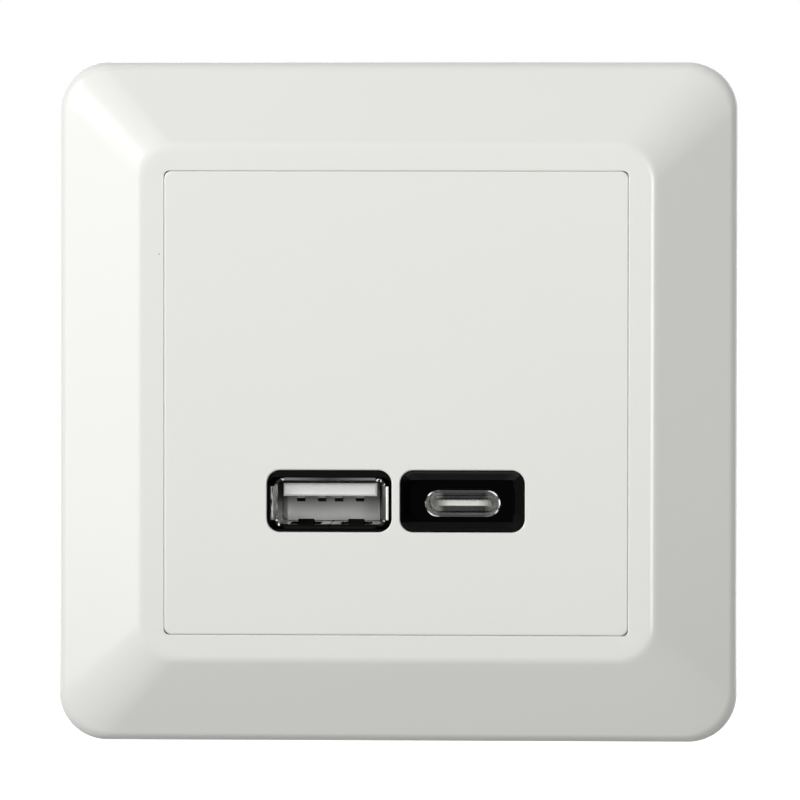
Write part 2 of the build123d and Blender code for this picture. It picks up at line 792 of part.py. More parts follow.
def moulded_block(x, z, width, depth, height, rounding):
    # moulded body on two leads
    with BuildPart() as block:
        with BuildSketch(front(power_board_front + part_lift)):
            with Locations((x, z)):
                Rectangle(width, depth)
        extrude(amount=height)
        fillet(block.edges().filter_by(Axis.Y), rounding)
        fillet(block.faces().sort_by(Axis.Y)[0].edges(), rounding / 2)
        with BuildSketch(front(power_board_front)):
            with Locations((x, z)):
                with GridLocations(width / 2, 0, 2, 1):
                    Circle(lead_radius)
        extrude(amount=part_lift)
    return block


def coated_disc(x, z, radius, thickness, rounding):
    # coated disc standing on two leads
    middle = power_board_front + part_lift + radius
    with BuildPart() as disc:
        with BuildSketch(level(z)):
            with Locations((x, middle)):
                Circle(radius)
        extrude(amount=thickness / 2, both=True)
        fillet(disc.edges().filter_by(GeomType.CIRCLE), rounding)
        with BuildSketch(front(power_board_front)):
            with Locations((x, z)):
                with GridLocations(radius, 0, 2, 1):
                    Circle(lead_radius)
        extrude(amount=part_lift + radius)
    return disc


def standing_cans(places, radius, height):
    # aluminium cans with a crimp groove above the board
    with BuildPart() as cans:
        with BuildSketch(front(power_board_front)):
            with Locations(*places):
                Circle(radius)
        extrude(amount=height)
        fillet(cans.edges().group_by(Axis.Y)[0], can_round)
        with BuildSketch(front(power_board_front + can_groove_height)):
            with Locations(*places):
                Circle(radius)
                Circle(radius - can_groove, mode=Mode.SUBTRACT)
        extrude(amount=can_groove_width, mode=Mode.SUBTRACT)
    return cans


fuse = moulded_block(fuse_x, front_z, fuse_width, fuse_depth, fuse_height, fuse_round)
film_capacitor = moulded_block(film_x, front_z, film_width, film_depth, film_height, film_round)
varistor = coated_disc(varistor_x, front_z, varistor_radius, varistor_thickness, varistor_round)
bulk_places = [(bulk_x, middle_z), (second_bulk_x, middle_z)]
bulk_capacitors = standing_cans(bulk_places, bulk_radius, bulk_height)
output_places = [(output_x, back_z - output_pitch / 2), (output_x, back_z + output_pitch / 2)]
output_capacitors = standing_cans(output_places, output_radius, output_height)

# The optocoupler and the safety capacitor share a column, one above the other
column_depth = opto_depth + row_gap + safety_thickness
opto_z = back_z + column_depth / 2 - opto_depth / 2
safety_z = back_z - column_depth / 2 + safety_thickness / 2
safety_capacitor = coated_disc(opto_x, safety_z, safety_radius, safety_thickness, varistor_round)


def leaded_chip(x, z, board, width, depth, height, lead_pitch, lead_count, rise):
    # chip with flat leads along both long sides; rise is 1 in front of the board, -1 behind it
    with BuildPart() as chip:
        with BuildSketch(front(board + rise * chip_lead_thickness)):
            with Locations((x, z)):
                Rectangle(width, depth)
        extrude(amount=rise * height)
        top = chip.faces().sort_by(Axis.Y)[0 if rise > 0 else -1]
        chamfer(top.edges(), chip_chamfer)
        with BuildSketch(front(board)):
            with Locations((x, z)):
                with GridLocations(lead_pitch, 0, lead_count, 1):
                    Rectangle(chip_lead_width, depth + 2 * chip_lead_reach)
        extrude(amount=rise * chip_lead_thickness)
    return chip


bridge_rectifier = leaded_chip(bridge_x, middle_z, power_board_front, bridge_width, bridge_depth,
                               bridge_height, bridge_width / 2, 2, 1)
optocoupler = leaded_chip(opto_x, opto_z, power_board_front, opto_width,
                          opto_depth - 2 * chip_lead_reach, opto_height, opto_width / 2, 2, 1)
controller_x, controller_z = controller_place
switching_controller = leaded_chip(controller_x, controller_z, power_board_back, controller_width,
                                   controller_depth, controller_height - chip_lead_thickness,
                                   controller_lead_pitch, 4, -1)

# Choke: a drum core and its winding
choke_window = choke_height - 2 * choke_flange
with BuildPart() as choke_core:
    with BuildSketch(front(power_board_front)):
        with Locations((choke_x, middle_z)):
            Circle(choke_radius)
    extrude(amount=choke_height)
    with BuildSketch(front(power_board_front + choke_flange)):
        with Locations((choke_x, middle_z)):
            Circle(choke_radius)
            Circle(choke_post_radius, mode=Mode.SUBTRACT)
    extrude(amount=choke_window, mode=Mode.SUBTRACT)

with BuildPart() as choke_winding:
    with BuildSketch(front(power_board_front + choke_flange)):
        with Locations((choke_x, middle_z)):
            Circle(choke_radius - choke_winding_gap)
            Circle(choke_post_radius, mode=Mode.SUBTRACT)
    extrude(amount=choke_window)

# Transformer
core_bottom = power_board_front + core_lift
core_middle = core_bottom + core_half_height
core_window = core_width - 2 * core_side_leg
core_window_half = core_half_height - core_bar
transformer_place = (transformer_x, back_z)
with BuildPart() as transformer_core:
    for turn in (-1, 1):
        with BuildSketch(front(core_middle + turn * core_joint / 2)):
            with Locations(transformer_place):
                Rectangle(core_width, core_depth)
        extrude(amount=turn * (core_half_height - core_joint / 2))
    with BuildSketch(front(core_middle - core_window_half)):
        with Locations(transformer_place):
            Rectangle(core_window, core_depth)
            Rectangle(core_middle_leg, core_depth, mode=Mode.SUBTRACT)
    extrude(amount=2 * core_window_half, mode=Mode.SUBTRACT)

tube_width = core_middle_leg + 2 * bobbin_clearance
tube_depth = core_depth + 2 * bobbin_clearance
tube_outer_width = tube_width + 2 * bobbin_tube_wall
tube_outer_depth = tube_depth + 2 * bobbin_tube_wall
flange_width = core_window - 2 * bobbin_clearance
spool_half = core_window_half - bobbin_clearance
rail_place = (bobbin_depth - bobbin_rail_depth) / 2
with BuildPart() as transformer_bobbin:
    with BuildSketch(front(core_middle - spool_half)):
        with Locations(transformer_place):
            Rectangle(flange_width, bobbin_depth)
    extrude(amount=2 * spool_half)
    with BuildSketch(front(core_middle - spool_half + bobbin_flange)):
        with Locations(transformer_place):
            Rectangle(flange_width, bobbin_depth)
            Rectangle(tube_outer_width, tube_outer_depth, mode=Mode.SUBTRACT)
    extrude(amount=2 * (spool_half - bobbin_flange), mode=Mode.SUBTRACT)
    with BuildSketch(front(core_middle - spool_half)):
        with Locations(transformer_place):
            Rectangle(tube_width, tube_depth)
    extrude(amount=2 * spool_half, mode=Mode.SUBTRACT)
    with BuildSketch(front(power_board_front)):
        with Locations(transformer_place):
            with GridLocations(0, 2 * rail_place, 1, 2):
                Rectangle(flange_width, bobbin_rail_depth)
    extrude(amount=core_middle - spool_half - power_board_front)

with BuildPart() as transformer_winding:
    with BuildSketch(front(core_middle - spool_half + bobbin_flange)):
        with Locations(transformer_place):
            Rectangle(flange_width - 2 * winding_inset, bobbin_depth - 2 * winding_inset)
            Rectangle(tube_outer_width, tube_outer_depth, mode=Mode.SUBTRACT)
    extrude(amount=2 * (spool_half - bobbin_flange))

# Parts on the front of the USB board, one of each behind the plate for each port
with BuildPart() as power_inductors:
    with BuildSketch(front(usb_board_front)):
        with Locations((usb_a_x, inductor_level), (usb_c_x, inductor_level)):
            RectangleRounded(inductor_side, inductor_side, inductor_corner)
    extrude(amount=inductor_height)
    fillet(power_inductors.edges().group_by(Axis.Y)[0], can_round)

with BuildPart() as charge_controllers:
    with BuildSketch(front(usb_board_front)):
        with Locations((usb_a_x, charger_level), (usb_c_x, charger_level)):
            Rectangle(charger_side, charger_side)
    extrude(amount=charger_height)
    chamfer(charge_controllers.edges().group_by(Axis.Y)[0], charger_chamfer)

# Terminal block: two poles, each a chamber open to the board, two wire entries and a button
entry_places = [(x + turn * entry_spacing / 2, entry_level) for x in (line_x, neutral_x)
                for turn in (-1, 1)]
button_places = [(line_x, button_level), (neutral_x, button_level)]
slot_width = button_width + 2 * button_clearance
slot_height = button_height + 2 * button_clearance
with BuildPart() as terminal_block:
    with BuildSketch(front(block_rear)):
        with Locations((0, block_level)):
            RectangleRounded(block_width, block_height, block_corner)
    extrude(amount=block_depth)
    with BuildSketch(front(cavity_rear)):
        with Locations((line_x, block_level), (neutral_x, block_level)):
            Rectangle(pole_width, block_height - 2 * block_wall)
    extrude(amount=block_depth - block_rear_wall, mode=Mode.SUBTRACT)
    with BuildSketch(front(block_rear)):
        with Locations(*button_places):
            Rectangle(slot_width, slot_height)
    extrude(amount=block_rear_wall, mode=Mode.SUBTRACT)
    with BuildSketch(front(block_rear)):
        with Locations(*entry_places):
            Circle(entry_radius)
    extrude(amount=block_rear_wall, mode=Mode.SUBTRACT)
    entry_edges = terminal_block.faces().sort_by(Axis.Y)[-1].edges().filter_by(GeomType.CIRCLE)
    funnel_edges = entry_edges.filter_by(lambda edge: abs(edge.radius - entry_radius) < entry_lift)
    chamfer(funnel_edges, entry_funnel)


def busbar(pole_x):
    # strip along the chamber's floor with two solder pins through the board
    start = cavity_rear + busbar_clearance
    pin_end = power_board_front + busbar_pin_stickout
    with BuildPart() as bar:
        with BuildSketch(front(start)):
            with Locations((pole_x, busbar_z)):
                Rectangle(pole_width - 2 * busbar_clearance, busbar_thickness)
        extrude(amount=power_board_back - start)
        with BuildSketch(front(power_board_back)):
            with Locations((pole_x, busbar_z)):
                with GridLocations(busbar_pin_spacing, 0, 2, 1):
                    Rectangle(busbar_pin, busbar_thickness)
        extrude(amount=pin_end - power_board_back)
    return bar


def clamp_spring(pole_x):
    # folded strip: a leg under the roof, a bend at the rear and a leg down to the busbar
    points = [(spring_deep, spring_roof), (spring_rear, spring_roof), (spring_deep, spring_tip)]
    with BuildPart() as spring:
        with BuildSketch(side(pole_x)):
            with BuildLine():
                FilletPolyline(*points, radius=spring_bend)
            trace(line_width=spring_strip)
        extrude(amount=spring_width / 2, both=True)
    return spring


def release_button(pole_x):
    # push piece in the rear wall, held by two lugs, with a nose that lifts the spring
    rear_end = block_rear - button_stickout
    lug_back = cavity_rear + button_clearance
    with BuildPart() as button:
        with BuildSketch(front(rear_end)):
            with Locations((pole_x, button_level)):
                Rectangle(button_width, button_height)
        extrude(amount=nose_end - rear_end)
        with BuildSketch(front(lug_back)):
            with Locations((pole_x, button_level)):
                Rectangle(button_width + 2 * button_lug, button_height)
        extrude(amount=button_lug)
        with BuildSketch(front(rear_end)):
            with Locations((pole_x, button_level)):
                Rectangle(button_width, button_groove)
        extrude(amount=button_groove_depth, mode=Mode.SUBTRACT)
    return button


pieces = {
    "cover_frame": cover_frame,
    "centre_plate": centre_plate,
    "support_ring": support_ring,
    "front_housing": front_housing,
    "rear_housing": rear_housing,
    "housing_screws": housing_screws,
    "usb_a_shell": usb_a_shell,
    "usb_a_insulator": usb_a_insulator,
    "usb_a_contacts": usb_a_contacts,
    "usb_c_shell": usb_c_shell,
    "usb_c_insulator": usb_c_insulator,
    "usb_c_contacts": usb_c_contacts,
    "usb_board": usb_board,
    "power_board": power_board,
    "board_link_pins": board_link_pins,
    "transformer_core": transformer_core,
    "transformer_bobbin": transformer_bobbin,
    "transformer_winding": transformer_winding,
    "bulk_capacitors": bulk_capacitors,
    "output_capacitors": output_capacitors,
    "film_capacitor": film_capacitor,
    "safety_capacitor": safety_capacitor,
    "choke_core": choke_core,
    "choke_winding": choke_winding,
    "fuse": fuse,
    "varistor": varistor,
    "bridge_rectifier": bridge_rectifier,
    "optocoupler": optocoupler,
    "switching_controller": switching_controller,
    "power_inductors": power_inductors,
    "charge_controllers": charge_controllers,
    "terminal_block": terminal_block,
    "line_busbar": busbar(line_x),
    "neutral_busbar": busbar(neutral_x),
    "line_spring": clamp_spring(line_x),
    "neutral_spring": clamp_spring(neutral_x),
    "line_button": release_button(line_x),
    "neutral_button": release_button(neutral_x),
}
for name, piece in pieces.items():
    piece.part.label = name
    export_step(piece.part, f"parts/{name}.step")
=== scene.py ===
import json
from math import radians

import bmesh
import bpy
import numpy as np
from mathutils import Matrix, Vector
from mathutils.geometry import tessellate_polygon

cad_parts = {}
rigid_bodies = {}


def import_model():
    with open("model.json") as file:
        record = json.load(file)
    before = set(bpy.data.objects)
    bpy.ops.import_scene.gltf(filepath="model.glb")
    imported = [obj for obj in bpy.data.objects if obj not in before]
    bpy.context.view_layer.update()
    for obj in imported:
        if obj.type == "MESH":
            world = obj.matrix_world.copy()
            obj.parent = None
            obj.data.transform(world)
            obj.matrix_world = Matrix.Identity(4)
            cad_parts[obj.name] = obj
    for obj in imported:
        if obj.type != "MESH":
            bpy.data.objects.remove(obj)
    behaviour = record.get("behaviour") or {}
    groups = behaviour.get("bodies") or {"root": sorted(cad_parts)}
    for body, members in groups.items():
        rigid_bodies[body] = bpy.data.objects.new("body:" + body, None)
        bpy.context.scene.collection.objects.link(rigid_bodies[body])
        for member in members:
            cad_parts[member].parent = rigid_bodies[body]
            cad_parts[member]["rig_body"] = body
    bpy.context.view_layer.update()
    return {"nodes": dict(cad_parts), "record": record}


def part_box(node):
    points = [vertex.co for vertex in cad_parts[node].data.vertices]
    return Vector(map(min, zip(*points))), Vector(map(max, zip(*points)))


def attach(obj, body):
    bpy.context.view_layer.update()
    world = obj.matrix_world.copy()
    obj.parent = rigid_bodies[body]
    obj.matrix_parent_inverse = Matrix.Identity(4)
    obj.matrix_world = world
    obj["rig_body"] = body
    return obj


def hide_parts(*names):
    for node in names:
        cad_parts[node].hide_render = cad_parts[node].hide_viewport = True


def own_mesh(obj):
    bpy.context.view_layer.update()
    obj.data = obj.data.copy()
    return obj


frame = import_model()
nodes = frame["nodes"]
mm = 0.001
print("frame loaded:", len(nodes), "nodes")

softDetail = 2.0  # detail of a Noise node for clouds and streaks
fineDetail = 3.0  # and for fine grain
bandAtOne = np.pi / 10  # width of a Wave node's band at scale 1
mixSockets = {"from": 6, "to": 7, "result": 2}  # colour sockets of a Mix node
plasticIor = 1.5


# a shader value: sums, products and comparisons of values add Math nodes to the material
class Value:
    def __init__(self, tree, socket):
        self.tree = tree
        self.socket = socket

    # any node, from its type, its settings and the values or links of its sockets
    def node(self, kind, settings=None, inputs=None, output=0):
        made = self.tree.nodes.new(kind)
        for key, setting in (settings or {}).items():
            setattr(made, key, setting)
        for key, value in (inputs or {}).items():
            if isinstance(value, Value):
                self.tree.links.new(value.socket, made.inputs[key])
            else:
                made.inputs[key].default_value = value
        return Value(self.tree, made.outputs[output])

    def math(self, operation, *terms):
        return self.node("ShaderNodeMath", {"operation": operation}, dict(enumerate(terms)))

    def __add__(self, other):
        return self.math("ADD", self, other)

    def __radd__(self, other):
        return self.math("ADD", other, self)

    def __sub__(self, other):
        return self.math("SUBTRACT", self, other)

    def __rsub__(self, other):
        return self.math("SUBTRACT", other, self)

    def __mul__(self, other):
        return self.math("MULTIPLY", self, other)

    def __rmul__(self, other):
        return self.math("MULTIPLY", other, self)

    def __lt__(self, other):
        return self.math("LESS_THAN", self, other)

    def __gt__(self, other):
        return self.math("GREATER_THAN", self, other)

    def __abs__(self):
        return self.math("ABSOLUTE", self)

    def atLeast(self, other):
        return self.math("MAXIMUM", self, other)

    # 0 at the start, 1 a length further on, straight between and held outside; the length may be below 0
    def ramp(self, start, length):
        clamped = {"operation": "MULTIPLY", "use_clamp": True}
        return self.node("ShaderNodeMath", clamped, {0: self - start, 1: 1 / length})

    # the coordinates in millimetres
    def millimetres(self, axes="XYZ"):
        parts = [self.node("ShaderNodeSeparateXYZ", {}, {"Vector": self}, axis) for axis in axes]
        return [part * (1 / mm) for part in parts]

    # noise of a grain in millimetres, drawn out along each axis by its stretch factor
    def noise(self, grain, detail=softDetail, stretch=(1, 1, 1)):
        scale = [1 / (grain * mm * factor) for factor in stretch]
        place = self.node("ShaderNodeMapping", {}, {"Vector": self, "Scale": scale})
        pattern = {"Vector": place, "Scale": 1.0, "Detail": detail}
        return self.node("ShaderNodeTexNoise", {}, pattern, "Fac")

    # cells of a size in millimetres: the Distance to their middles, or a Color of each cell's own
    def cells(self, size, output):
        return self.node("ShaderNodeTexVoronoi", {}, {"Vector": self, "Scale": 1 / (size * mm)}, output)

    # bands of a pitch in millimetres, one after another along an axis
    def bands(self, pitch, axis, distortion=0.0):
        wave = {"Vector": self, "Scale": bandAtOne / (pitch * mm), "Distortion": distortion}
        return self.node("ShaderNodeTexWave", {"bands_direction": axis}, wave, "Fac")

    def red(self):
        return self.node("ShaderNodeSeparateColor", {}, {"Color": self}, "Red")

    # one colour where this mask is 0 and another where it is 1; each is three numbers or a value
    def between(self, first, second):
        colours = [colour if isinstance(colour, Value) else (*colour, 1) for colour in (first, second)]
        inputs = {"Factor": self, mixSockets["from"]: colours[0], mixSockets["to"]: colours[1]}
        return self.node("ShaderNodeMix", {"data_type": "RGBA"}, inputs, mixSockets["result"])

    # this colour with others laid over it in turn, each where its mask is 1
    def under(self, *layers):
        tone = self
        for mask, colour in layers:
            tone = mask.between(tone, colour)
        return tone

    # one shader where this mask is 0 and another where it is 1
    def choose(self, first, second):
        return self.node("ShaderNodeMixShader", {}, {0: self, 1: first, 2: second})


# a material on Object coordinates with the constants set on the shader's own sockets
def startMaterial(name, **constants):
    material = bpy.data.materials.new(name)
    material.use_nodes = True
    tree = material.node_tree
    shader = tree.nodes["Principled BSDF"]
    for key, constant in constants.items():
        shader.inputs[key.replace("_", " ")].default_value = constant
    coordinates = tree.nodes.new("ShaderNodeTexCoord")
    return material, Value(tree, coordinates.outputs["Object"])


# links what varies over the surface to the shader, with a relief of that depth in millimetres
def dress(material, colour, roughness, height, depth):
    tree = material.node_tree
    shader = tree.nodes["Principled BSDF"]
    relief = {"Height": height, "Distance": depth * mm, "Strength": 1.0}
    bump = height.node("ShaderNodeBump", {}, relief)
    for value, socket in ((colour, "Base Color"), (roughness, "Roughness"), (bump, "Normal")):
        tree.links.new(value.socket, shader.inputs[socket])
    return material


def plainShader(material):
    tree = material.node_tree
    return Value(tree, tree.nodes["Principled BSDF"].outputs["BSDF"])


# makes a shader the surface of its material or world
def showShader(shader, output):
    tree = shader.tree
    tree.links.new(shader.socket, tree.nodes[output].inputs["Surface"])


def grey(level):
    return (level, level, level)


def scaled(colour, share):
    return tuple(part * share for part in colour)


# two patterns laid together, the first by its share
def blendOf(first, second, share=0.5):
    return share * first + (1 - share) * second


# roughness that changes slowly over a surface: its least, and a cloud of that spread on top
def cloudySheen(place, finish):
    return finish["roughness"] + finish["sheenSpread"] * place.noise(finish["sheenCloud"])


# grains, depths and places of the finishes are in millimetres, with x to the right, y into the wall and z up

# satin white trim: a faint cloud of tone, a fine spark-eroded grain and a few dust specks
# the walls of the port holes are lined in black behind their front edge, as the bosses in them are black
trimWhite = {"name": "satinWhiteTrim", "light": (0.815, 0.82, 0.785), "dark": (0.795, 0.80, 0.765),
             "cloud": 30.0, "grain": 0.22, "depth": 0.0005,
             "roughness": 0.17, "sheenSpread": 0.04, "sheenCloud": 6.0,
             "speck": (0.50, 0.49, 0.45), "speckCell": 9.0, "speckSize": 0.011, "speckShare": 0.62,
             "lining": grey(0.004), "liningMiddle": (7.9, -11.6), "liningHalf": (7.45, 3.72),
             "liningStart": -8.98}


def makeTrimWhite(t):
    material, place = startMaterial(t["name"], IOR=plasticIor)
    x, y, z = place.millimetres()
    middle, level = t["liningMiddle"]
    halfWidth, halfHeight = t["liningHalf"]
    inHole = (abs(abs(x) - middle) < halfWidth) * (abs(z - level) < halfHeight) * (y > t["liningStart"])
    speck = place.cells(t["speckCell"], "Distance") < t["speckSize"]
    chosen = place.cells(t["speckCell"], "Color").red() > t["speckShare"]
    tone = place.noise(t["cloud"]).between(t["dark"], t["light"])
    tone = tone.under((inHole, t["lining"]), (speck * chosen, t["speck"]))
    return dress(material, tone, cloudySheen(place, t), place.noise(t["grain"], fineDetail), t["depth"])


# black housing: deepest black on the floor round the right port; its bosses' slopes are painted lighter,
# each slope face with its own painted-light tone for how the light falls on it
blackBezel = {"name": "blackBezel",
              "floorDark": (0.0007, 0.0007, 0.0008), "floorLight": (0.0009, 0.0009, 0.001),
              "side": grey(0.006), "low": grey(0.006), "top": grey(0.0065),
              "rightLow": grey(0.008), "rightTop": grey(0.024),
              "slopeStart": -7.83, "sideEdge": 13.9, "lowEdge": -14.1, "topEdge": -9.1,
              "rightMiddle": 7.9, "mitre": -15.25, "specular": 0.008, "grain": 0.25, "depth": 0.002,
              "roughness": 0.28, "sheenSpread": 0.08, "sheenCloud": 3.0}


def makeBlackBezel(b):
    material, place = startMaterial(b["name"], IOR=plasticIor, Specular_IOR_Level=b["specular"])
    x, y, z = place.millimetres()
    slope = y < b["slopeStart"]
    side = slope * (x > b["sideEdge"])
    low = slope * (z < b["lowEdge"])
    top = slope * (z > b["topEdge"])
    rightTop = top * (z - abs(x - b["rightMiddle"]) > b["mitre"])
    fine = place.noise(b["grain"], fineDetail)
    tone = fine.between(b["floorDark"], b["floorLight"])
    # painted light: each slope face of the bosses gets its own lighter tone, the top of the right boss the
    # lightest
    tone = tone.under((side, b["side"]), (low, b["low"]), (top, b["top"]),
                      (low * (x > 0), b["rightLow"]), (rightTop, b["rightTop"]))
    return dress(material, tone, cloudySheen(place, b), fine, b["depth"])


# left port's steel, in painted reflections: each lip in the tone that its reflections give it from the
# front, with painted glints on the dark corners, and dark windows of painted shade round the two spring
# fingers in its floor
widePort = {"middle": (-7.9, -11.9), "lipStart": -6.65, "lipTone": (0.10, 0.10, 0.098), "cutEdge": -8.03,
            "sideLip": 6.0, "topLip": -9.36, "topReach": 4.5, "topTone": grey(0.03), "lowLip": -14.42,
            "flareReach": 2.15, "leftFlareDark": (0.18, 0.18, 0.175), "leftFlareLight": (0.97, 0.97, 0.95),
            "leftCutDark": grey(0.02), "leftCutLight": (0.34, 0.34, 0.33),
            "rightFlare": (0.26, 0.26, 0.255), "rightCut": (0.62, 0.62, 0.60),
            "mottleGrain": 0.17, "mottleStretch": (1, 1, 5), "mottleStart": 0.40, "mottleLength": 0.2,
            "cornerStart": 5.5, "cornerTone": grey(0.015),
            "speckGrain": 0.3, "speckDetail": 1.0, "speckShare": 0.60, "speckTone": (0.50, 0.50, 0.49),
            "leftWall": -14.0, "wallFoot": -12.3, "wallRise": 0.9, "wallLight": (0.97, 0.97, 0.95),
            "wallDark": grey(0.06), "floor": -14.46, "floorSkin": 0.02,
            "fingerReach": 5.0, "fingerTop": -13.8, "fingerPlace": 3.0,
            "windowReach": 1.85, "windowFront": -6.3, "windowBack": -0.6}


def widePortLayers(place, w):
    x, y, z = place.millimetres()
    middle, level = w["middle"]
    across = abs(x - middle)
    up = abs(z - level)
    mine = x < 0
    # painted reflections: the lips are painted dark for the dark they reflect, darkest along the middle of
    # the top lip
    lip = mine * (y < w["lipStart"])
    cutEdge = y < w["cutEdge"]
    inner = lip * (across < w["sideLip"])
    top = inner * (z > w["topLip"]) * across.ramp(w["topReach"], -w["topReach"])
    flare = lip * (across > w["sideLip"]) * (up < w["flareReach"])
    left = flare * (x < middle)
    right = flare * (x > middle)
    # painted reflections on the flares and their cut edges: fixed tones on the right, and tones mottled like
    # a sheared edge on the left
    mottle = place.noise(w["mottleGrain"], fineDetail, w["mottleStretch"])
    mottle = mottle.ramp(w["mottleStart"], w["mottleLength"])
    leftFlare = mottle.between(w["leftFlareDark"], w["leftFlareLight"])
    leftCut = mottle.between(w["leftCutDark"], w["leftCutLight"])
    # the lips' corners are painted dark, with painted glints where the noise is high
    corner = lip * (across > w["cornerStart"]) * (up > w["flareReach"])
    speck = corner * (place.noise(w["speckGrain"], w["speckDetail"]) > w["speckShare"])
    # painted shade: the left inner wall is painted dark at the top and light at its foot
    leftWall = (x < w["leftWall"]) * (y > w["lipStart"])
    paintedWallShade = z.ramp(w["wallFoot"], w["wallRise"]).between(w["wallLight"], w["wallDark"])
    layers = [(lip, w["lipTone"]), (top, w["topTone"]),
              (right, w["rightFlare"]), (right * cutEdge, w["rightCut"]),
              (corner, w["cornerTone"]), (speck, w["speckTone"]),
              (left, leftFlare), (left * cutEdge, leftCut), (leftWall, paintedWallShade)]
    # painted shade: the spring fingers and the windows round them in the floor are painted black, and so is
    # the low lip, for the dark it reflects
    onFloor = abs(z - w["floor"]) < w["floorSkin"]
    finger = mine * (1 - onFloor) * (z < w["fingerTop"]) * (across < w["fingerReach"])
    window = mine * onFloor * (abs(across - w["fingerPlace"]) < w["windowReach"])
    window = window * (y > w["windowFront"]) * (y < w["windowBack"])
    black = finger + window + inner * (z < w["lowLip"])
    return layers, black, flare


# right port's steel: a ring painted dark for the dark it reflects, whose two ends carry a thin painted
# highlight broken into patches, and a bright inside
slimPort = {"middle": (7.9, -11.9), "inside": (0.86, 0.86, 0.84), "ringStart": -7.72, "ring": grey(0.035),
            "endStart": 2.6, "endLength": 1.7, "endTone": (0.09, 0.09, 0.088),
            "straight": 2.89, "lineReach": 1.43, "lineDark": grey(0.02), "lineLight": (0.80, 0.80, 0.78),
            "wornGrain": 0.7, "wornStart": 0.40, "wornLength": 0.2}


def slimPortLayers(place, s):
    x, y, z = place.millimetres()
    middle, level = s["middle"]
    across = abs(x - middle)
    up = z - level
    mine = x > 0
    # painted reflections: the front ring dark, a little lighter towards its ends, and a painted highlight
    # along the outer edge of each end where the noise lets it through
    ring = mine * (y < s["ringStart"])
    end = ring * across.ramp(s["endStart"], s["endLength"])
    pastStraight = (across - s["straight"]).atLeast(0)
    line = end * (pastStraight * pastStraight + up * up > s["lineReach"] ** 2)
    worn = place.noise(s["wornGrain"], fineDetail).ramp(s["wornStart"], s["wornLength"])
    highlightTone = worn.between(s["lineDark"], s["lineLight"])
    layers = [(mine, s["inside"]), (ring, s["ring"]), (end, s["endTone"]), (line, highlightTone)]
    return layers, mine


# bright sheet of both ports, streaked by rolling; each port lays its painted reflections, highlights and
# shade over it
portSteel = {"name": "portSteel", "sheet": (0.66, 0.655, 0.64), "worn": (0.58, 0.575, 0.56),
             "soot": grey(0.012), "streak": 0.08, "stretch": (1, 1, 12), "cloud": 2.5, "depth": 0.0006,
             "roughness": 0.10, "streakSheen": 0.06, "flareSheen": 0.35, "slimSheen": 0.25}


def makePortSteel(p):
    material, place = startMaterial(p["name"], Metallic=1.0)
    wideLayers, black, flare = widePortLayers(place, widePort)
    slimLayers, slim = slimPortLayers(place, slimPort)
    streaks = place.noise(p["streak"], stretch=p["stretch"])
    tone = blendOf(streaks, place.noise(p["cloud"])).between(p["worn"], p["sheet"])
    tone = tone.under(*wideLayers, *slimLayers)
    sheen = p["roughness"] + p["streakSheen"] * streaks + p["flareSheen"] * flare + p["slimSheen"] * slim
    dress(material, tone, sheen, streaks, p["depth"])
    # painted shade: a flat black diffuse where the black mask is set
    soot = place.node("ShaderNodeBsdfDiffuse", {}, {"Color": (*p["soot"], 1)})
    showShader(black.choose(plainShader(material), soot), "Material Output")
    return material


# white insulator of the left port: its back wall is painted with the tongue's shade, darker towards the
# tongue
portWhite = {"name": "portWhite", "light": (0.95, 0.95, 0.93), "dark": (0.22, 0.22, 0.21),
             "wall": 1.5, "foot": -13.8, "rise": 2.0, "grain": 0.3, "depth": 0.002,
             "roughness": 0.38, "sheenSpread": 0.08, "sheenCloud": 3.0}


def makePortWhite(p):
    material, place = startMaterial(p["name"], IOR=plasticIor)
    y, z = place.millimetres("YZ")
    # painted shade: darker up the back wall, towards the tongue above it
    shade = (y > p["wall"]) * z.ramp(p["foot"], p["rise"])
    tone = shade.between(p["light"], p["dark"])
    return dress(material, tone, cloudySheen(place, p), place.noise(p["grain"], fineDetail), p["depth"])


# insulator of the right port: a light tongue with painted shade on its rim and ends, on a root painted dark
# behind it as shade
slimTongue = {"name": "slimTongue", "light": (0.66, 0.66, 0.63), "middle": (7.9, -11.9),
              "root": -2.6, "rootReach": 3.0, "rootFade": 0.6, "rootDark": grey(0.06),
              "tip": -6.2, "tipReach": 3.0, "tipHalf": 0.31, "tipStart": 1.7, "tipFade": 1.6,
              "tipDark": (0.14, 0.14, 0.135), "grain": 0.2, "depth": 0.002,
              "roughness": 0.36, "sheenSpread": 0.08, "sheenCloud": 3.0}


def makeSlimTongue(s):
    material, place = startMaterial(s["name"], IOR=plasticIor)
    x, y, z = place.millimetres()
    middle, level = s["middle"]
    across = abs(x - middle)
    # painted shade: the root dark behind the tongue, and the tongue's rim and ends darker, so that only its
    # middle stays light
    root = (y > s["root"]) * across.ramp(s["rootReach"], -s["rootFade"])
    rim = (across > s["tipReach"]).atLeast(abs(z - level) > s["tipHalf"])
    tip = (y < s["tip"]) * across.ramp(s["tipStart"], s["tipFade"]).atLeast(rim)
    tone = root.between(s["light"], s["rootDark"]).under((tip, s["tipDark"]))
    return dress(material, tone, cloudySheen(place, s), place.noise(s["grain"], fineDetail), s["depth"])


# zinc plate: small crystals of slightly different tone under rolling marks
zincPlate = {"name": "zincPlate", "dark": (0.42, 0.43, 0.45), "light": (0.60, 0.61, 0.63), "crystal": 1.3,
             "mark": 0.1, "stretch": (20, 1, 1), "depth": 0.0015,
             "roughness": 0.34, "crystalSheen": 0.05, "markSheen": 0.08}


